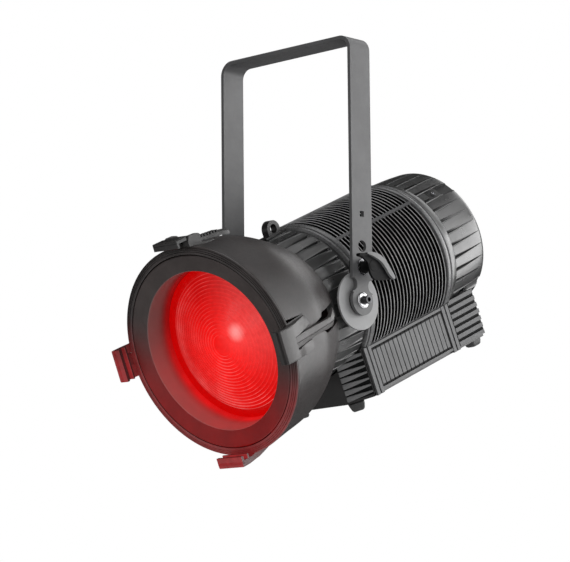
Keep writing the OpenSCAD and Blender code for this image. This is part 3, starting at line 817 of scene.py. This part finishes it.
def bracket_arm(bm, m):
    """The creased arm behind a claw, and its two wings. Tables go by the place along the axis."""
    tops = {80: 141.0, 84: 143.5, 91: 146, 95: 147, 106: 148.8, 135.5: 151.6, 148: 152.8, 155: 153.5,
            167: 155, 182.5: 157, 196: 158.2}
    under = {80: 137, 84: 137.3, 91: 138, 95: 138.5, 106: 141, 135.5: 143, 148: 144.5, 155: 145.5,
             167: 147, 182.5: 149.5, 196: 151}
    crease = {80: 5.8, 84: 2.7, 91: -0.6, 95: -0.8, 106: -1.0, 135.5: -1.8, 148: -2, 155: -2.1,
              167: -2.3, 182.5: -2.5, 196: -2.9}
    high = {80: 14.6, 84: 12, 91: 7.2, 95: 5.8, 106: 5.8, 135.5: 6.2, 148: 6.4, 155: 6.4,
            167: 6.4, 182.5: 5.4, 196: 3.6}
    low = {80: 3, 84: -1.5, 91: -6.5, 95: -7.4, 106: -7.4, 135.5: -7.2, 148: -7.9, 155: -8.4,
           167: -9.2, 182.5: -10, 196: -9.6}
    ribbon(bm, m, [(a, crease[a] + 0.25, high[a], under[a], tops[a], tops[a] - 0.8) for a in tops], 0.35)
    ribbon(bm, m, [(a, low[a], crease[a] - 0.25, under[a], tops[a] - 2.4, tops[a] - 0.2) for a in tops], 0.35)
    ribbon(bm, m, [(a, crease[a] - 0.6, crease[a] + 0.6, under[a] - 0.3, tops[a] - 1.3, tops[a] - 1.3)
                   for a in tops], 0.1)
    ribbon(bm, m, [(138, 10, 12.5, 142, 145.9, 145.7), (142.5, 9.7, 25, 141.5, 146.4, 144.2),
                   (150, 8.7, 25, 142.5, 149.0, 147.8), (158, 7.9, 24.7, 143.5, 151.3, 150.6),
                   (167, 6.8, 24.3, 145, 153.6, 153.2), (176, 5.9, 23.4, 147, 156, 156),
                   (190, 5, 23, 150.4, 157.6, 157.6)], 0.8)
    ribbon(bm, m, [(140, -22, -9.8, 141.5, 144.4, 145.6), (150, -25, -9.9, 142.5, 145.2, 146.9),
                   (158, -25, -10.3, 143.5, 146.6, 148.2), (168, -24.6, -11.2, 145, 149.0, 150.6),
                   (176, -23.4, -11.9, 147, 153.4, 154.4), (190, -23, -11.6, 150.4, 157.2, 157.2)], 0.8)


def brackets():
    for side in ("right", "left", "bottom"):
        m = spun(TURNS[side])
        bm = bmesh.new()
        bracket_arm(bm, m)
        ribbon(bm, m, [(184, -23, 23, 150.5, 157.2, 157.2), (196, -23, 23, 150.5, 158.8, 158.8),
                       (206, -23, 23, 150.5, 159, 159), (211.2, -23, 23, 150.5, 158.8, 158.8),
                       (212, -22.3, 22.3, 151, 158.0, 158.0)], 1.4)
        for a0, a1 in ((207, 212), (196, 199.5)):
            ribbon(bm, m, [(a0, -23, 23, 144.3, 155, 155), (a1 - 0.6, -23, 23, 144, 155, 155),
                           (a1, -22.5, 22.5, 144.6, 155, 155)], 0.6)
        # The right bracket takes a lighter copy, painted light; all brackets carry the painted red glow.
        piece("slot_bracket_" + side, bm, "black_plastic", "head", replaces="slot_brackets",
              mat=MATS["side_bracket" if side == "right" else "bracket_coat"], sharp=16)

    m = spun(TURNS["top"])
    bm = bmesh.new()
    bracket_arm(bm, m)
    for s in (-1, 1):
        lo, hi = sorted((s * 17.7, s * 23))
        ribbon(bm, m, [(164, lo, hi, 146.4, 159.6, 159.6), (166, lo, hi, 146.2, 161.2, 161.2),
                       (172, lo, hi, 146.2, 163.0, 163.0), (183, lo, hi, 147, 163.5, 163.5),
                       (186.5, lo, hi, 148, 162.4, 162.4), (189, lo, hi, 149, 158.5, 158.5)], 0.9)
    for k in range(8):
        a, top = 112 + 6 * k, 150.6 + 0.5 * k
        ribbon(bm, m, [(a, -6.6, 5.8, 147, top, top), (a + 2.6, -6.6, 5.8, 147, top + 0.1, top + 0.1)], 0.6)
    for a0, a1, r in ((170, 174, 152.6), (174, 178, 152.9)):
        ribbon(bm, m, [(a0, -17.4, 17.4, 150, r, r), (a1, -17.4, 17.4, 150, r, r)], 0.4)
    piece("latch_bracket_skin", bm, "black_plastic", "head", replaces="latch_bracket",
          mat=MATS["bracket_coat"], sharp=16)

    bm = bmesh.new()
    ribbon(bm, m, [(183, -17.1, 17.1, 159, 163, 163), (191, -17.1, 17.1, 159, 163.2, 163.2),
                   (191.4, -22.6, 22.6, 159, 163.2, 163.2), (211.2, -22.6, 22.6, 159, 163.3, 163.3),
                   (212, -22, 22, 159.4, 162.6, 162.6)], 0.9)
    ribbon(bm, m, [(207.5, -22.6, 22.6, 153, 160, 160), (211.3, -22.6, 22.6, 152.8, 160, 160),
                   (212, -22, 22, 153.3, 160, 160)], 0.6)
    for k in range(4):
        ribbon(bm, m, [(192.5 + 3.6 * k, -16, 16, 162.4, 163.9, 163.9),
                       (194.3 + 3.6 * k, -16, 16, 162.4, 163.9, 163.9)], 0.6)
    barrel_place = m @ columns((0, 0, 1), (1, 0, 0), (0, 1, 0), (158.5, 0, 182))
    prism(bm, polygon(4.5, 32), -17.1, 17.1, barrel_place, 0.5)
    piece("top_latch_skin", bm, "black_plastic", "latch", replaces="top_latch",
          mat=MATS["bracket_coat"], sharp=30)


brackets()


# ---------------------------------------------------------------- pivots
def pivots():
    bolt_outline = [(0.02, 84), (5.9, 84), (5.9, 127.3), (5.0, 127.6), (5.0, 131.8), (5.7, 132.3), (6.0, 133),
                    (6.0, 135.8), (5.5, 136.4), (4.6, 136.5), (0.02, 136.5)]
    washer_outline = [(6.4, 125.3), (10.9, 125.3), (11.0, 125.6), (10.9, 126.1), (9.6, 126.9), (7.4, 127.3),
                      (6.4, 127.4)]
    bolt, washer = bmesh.new(), bmesh.new()
    for s in (1, -1):
        outwards = columns((0, 1, 0), (0, 0, 1), (s, 0, 0))
        merge(bolt, lathe(bmesh.new(), bolt_outline, 64), outwards)
        merge(washer, lathe(bmesh.new(), washer_outline, 96), outwards)
    o = piece("tilt_bolt_pair", bolt, "bright_steel", "head", replaces="tilt_bolts", space=YOKE,
              mat=MATS["dark_steel"])
    cutter = bmesh.new()
    for s in (1, -1):
        prism(cutter, polygon(3.6, 6), 131, 140, columns((0, 1, 0), (0, 0, 1), (s, 0, 0)))
    cut(o, cutter, YOKE)
    piece("tilt_washer_pair", washer, "bright_steel", "head", replaces="tilt_washers", space=YOKE)


pivots()


# ---------------------------------------------------------------- brake lever
def lever():
    """A bent wing: a raised rim round a recessed web, on a round hub; the rim is painted light and the web
    and hub near black, as painted light and shade. Outlines are (y, z).
    """
    outer = smooth_curve([(-16, 62), (-8, 63.2), (0, 63.4), (8, 62), (14.5, 59.4), (21, 55), (26.5, 50),
                          (30, 46), (33.5, 42.2), (37, 38.2), (39.6, 35), (39.4, 32.2), (37.5, 31)], 3)
    inner = smooth_curve([(33, 33), (28, 37), (22, 43.5), (17, 48.4), (10, 53), (0, 56.6), (-8, 58.6),
                          (-16, 59.8)], 3)
    bm = prism(bmesh.new(), outer + inner, 141.6, 149.4, YZ_X, 0.9, 3)
    # The rim takes a lighter copy of the black plastic, painted light.
    piece("lever_rim", bm, "black_plastic", "brake", replaces="brake_lever", space=YOKE,
          mat=MATS["lever_rim_lit"], sharp=40)
    web = fillet([(-31, 55.5), (-31, 59), (-22, 59.6), (-15, 61.2), (0, 62.4), (8, 61), (20, 54.5),
                  (29, 45.5), (36, 38), (38, 32), (36, 31), (22, 28.2), (4, 26.4), (-1.5, 29), (-5.5, 34),
                  (-8, 40), (-12, 50), (-22, 54.5)],
                 [1.5, 1.5, 6, 4, 4, 4, 5, 5, 2, 1, 1, 8, 4, 4, 8, 6, 6, 8], 5)
    bm = prism(bmesh.new(), web, 141.9, 145.4, YZ_X, 0.8, 2)
    tail = fillet([(-31, 55.5), (-31, 59.2), (-22, 59.8), (-14, 61.4), (-12, 58.8), (-22, 56)], 1.2, 4)
    prism(bm, tail, 142.2, 148.4, YZ_X, 0.9, 2)
    hub = [(4.06, 127.5), (8.6, 127.5), (8.8, 128.2), (8.6, 130), (7.6, 131.6), (7.4, 134), (7.4, 143),
           (8.6, 145.0), (7.6, 145.9), (0.02, 146), (0.02, 145.6), (4.06, 145.6)]
    merge(bm, lathe(bmesh.new(), hub, 72), columns((0, 1, 0), (0, 0, 1), (1, 0, 0), (0, 0, 46)))
    # The web and hub are painted near black as shade.
    piece("lever_web", bm, "black_plastic", "brake", replaces="brake_lever", space=YOKE,
          mat=MATS["lever_web_shade"], sharp=40)


lever()


# ---------------------------------------------------------------- louvred corners of the driver box
HALF_ROOT = math.sqrt(0.5)
CORNER = (47.3, 8.3)                  # (x, a) where the slanted corner begins


def louvres():
    bm, gaps = bmesh.new(), bmesh.new()
    for s in (1, -1):
        m = columns((s * HALF_ROOT, 0, HALF_ROOT), (0, 1, 0), (s * HALF_ROOT, 0, -HALF_ROOT),
                    (s * CORNER[0], 0, CORNER[1]))
        for i in range(7):
            top = -80.3 - 9.2 * i + (0.4 if i else 0)
            big = 1.1 if i == 0 else 0
            ribbon(bm, m, [(-0.4, top - 7.2, top, 0.8, 4.4, 4.9), (1.0, top - 7.5, top, 0.8, 4.8, 5.0),
                           (12, top - 6.7 - big, top - 0.2, 0.8, 4.4, 4.8),
                           (26, top - 5.2 - big, top - 0.7, 0.8, 3.8, 4.4),
                           (38.0, top - 4.0 - big, top - 1.2, 0.8, 3.2, 3.8)], 0.8)
        # A near black sheet behind the louvres, painted shade in the gaps between them.
        prism(gaps, [(-142.5, 0), (-80, 0), (-80, 38.5), (-142.5, 38.5)], -0.1, 1.6,
              m @ columns((0, 1, 0), (0, 0, 1), (1, 0, 0)))
    piece("corner_louvres", bm, "black_plastic", "head", replaces="front_covers", mat=MATS["louvres"],
          sharp=30)
    piece("corner_backs", gaps, "black_plastic", "head", replaces="front_covers", mat=MATS["gap_black"])


louvres()


# ---------------------------------------------------------------- heatsink
FINS = 22
FIN_R = 110.5


def arc(bm, profile, t0, t1, n=40):
    """Part of a turned ring from t0 to t1 degrees."""
    angles = [math.radians(t0 + (t1 - t0) * k / n) for k in range(n + 1)]
    loft(bm, [[(r * math.cos(t), r * math.sin(t), a) for r, a in profile] for t in angles])


def heatsink():
    bodies, rims = bmesh.new(), bmesh.new()
    pitch = (-39 + 209 - 4) / FINS
    slot = math.degrees(math.asin(2.8 / 110))        # gap left for a tie rib
    for i in range(FINS):
        c = -207 + (i + 0.5) * pitch
        body = [(80.3, c - 1.1), (109.7, c - 0.9), (109.7, c + 0.9), (80.3, c + 1.1)]
        rim = [(109.6, c - 0.4), (110.2, c - 0.4), (FIN_R, c - 0.2), (FIN_R, c + 0.2), (110.2, c + 0.4),
               (109.6, c + 0.4)]
        for q in (-45, 45, 135, 225):
            arc(bodies, body, q + slot, q + 90 - slot)
            arc(rims, rim, q + slot, q + 90 - slot)
    piece("fin_bodies", bodies, "anodised_black", "head", replaces="heatsink_fins", mat=MATS["fin_black"])
    # Thin light rims: a painted highlight along each fin's edge.
    piece("fin_rims", rims, "anodised_black", "head", replaces="heatsink_fins", mat=MATS["fin_rim"])
    rear_outline = [(84, -209.3), (109.3, -209.3), (110.2, -209.7), (FIN_R, -210.6), (FIN_R, -216.6),
                    (110.1, -217.2), (108.9, -217.5), (108.9, -218.6), (109.8, -219.0), (110.1, -219.6),
                    (110.0, -221.2), (109.2, -222), (84, -222)]
    front_outline = [(84, -38.7), (109.4, -38.7), (110.2, -38.3), (FIN_R, -37.4), (FIN_R, -30.4),
                     (110.0, -29.7), (108.7, -29.4), (108.7, -28.2), (109.5, -27.8), (109.7, -27.0),
                     (109.3, -24.7), (108.3, -24), (84, -24)]
    # The flanges take a lighter copy of the anodised edge, painted light.
    piece("rear_flange_turned", lathe(bmesh.new(), rear_outline), "anodised_edge", "head",
          replaces="rear_flange", mat=MATS["flange_coat_lit"], sharp=40)
    piece("front_flange_turned", lathe(bmesh.new(), front_outline), "anodised_edge", "head",
          replaces="front_flange", mat=MATS["flange_coat_lit"], sharp=40)


heatsink()


# ---------------------------------------------------------------- feet
def feet():
    front = (-147.2, -151.0, -156.2, -158.4), ((-0.6, 22.5, -13.5, 4.6), (0.4, 22, -13, 5),
                                               (2.2, 20.4, -12.4, 4.8), (4.0, 18.6, -11, 3.6))
    back = (-147.2, -150.6, -155, -156.5), ((51.6, 70.4, -276.4, -255.6), (52, 70, -276, -256),
                                            (53, 69, -275, -257), (54.6, 67.4, -273.4, -258.6))
    bm = bmesh.new()
    for s in (1, -1):
        slanted = columns((s * HALF_ROOT, 0, -HALF_ROOT), (0, 1, 0), (s * HALF_ROOT, 0, HALF_ROOT),
                          (s * CORNER[0], 0, CORNER[1]))
        square = columns((s, 0, 0), (0, 1, 0), (0, 0, 1))
        for m, (levels, boxes) in ((slanted, front), (square, back)):
            sections = []
            for v, (x0, x1, w0, w1) in zip(levels, boxes):
                outline = fillet([(x0, w0), (x1, w0), (x1, w1), (x0, w1)], 3.4, 5)
                sections.append([m @ Vector((u, v, w)) for u, w in outline])
            loft(bm, sections)
    piece("rubber_feet", bm, "rubber", "head", replaces="feet", mat=MATS["foot_rubber"], sharp=35)


feet()


# ---------------------------------------------------------------- CAD nodes that keep their shape
SOFTENED = {                          # edge radius in mm
    0.3: ("cap_screws",),
    0.4: ("friction_washers", "brake_washer", "brake_stud", "brake_pad", "display_window"),
    0.45: ("side_grilles",),
    0.5: ("friction_discs", "rear_panel", "power_inlet", "power_outlet", "data_inlet", "data_outlet"),
    0.6: ("tie_ribs", "base_plate", "button_up", "button_down", "button_enter", "button_menu", "vent_plug"),
    0.7: ("yoke_frame", "side_rails", "box_straps", "rear_covers"),
    1.2: ("safety_eye", "driver_box"),
}
for width, names in SOFTENED.items():
    for name in names:
        soften(name, width)
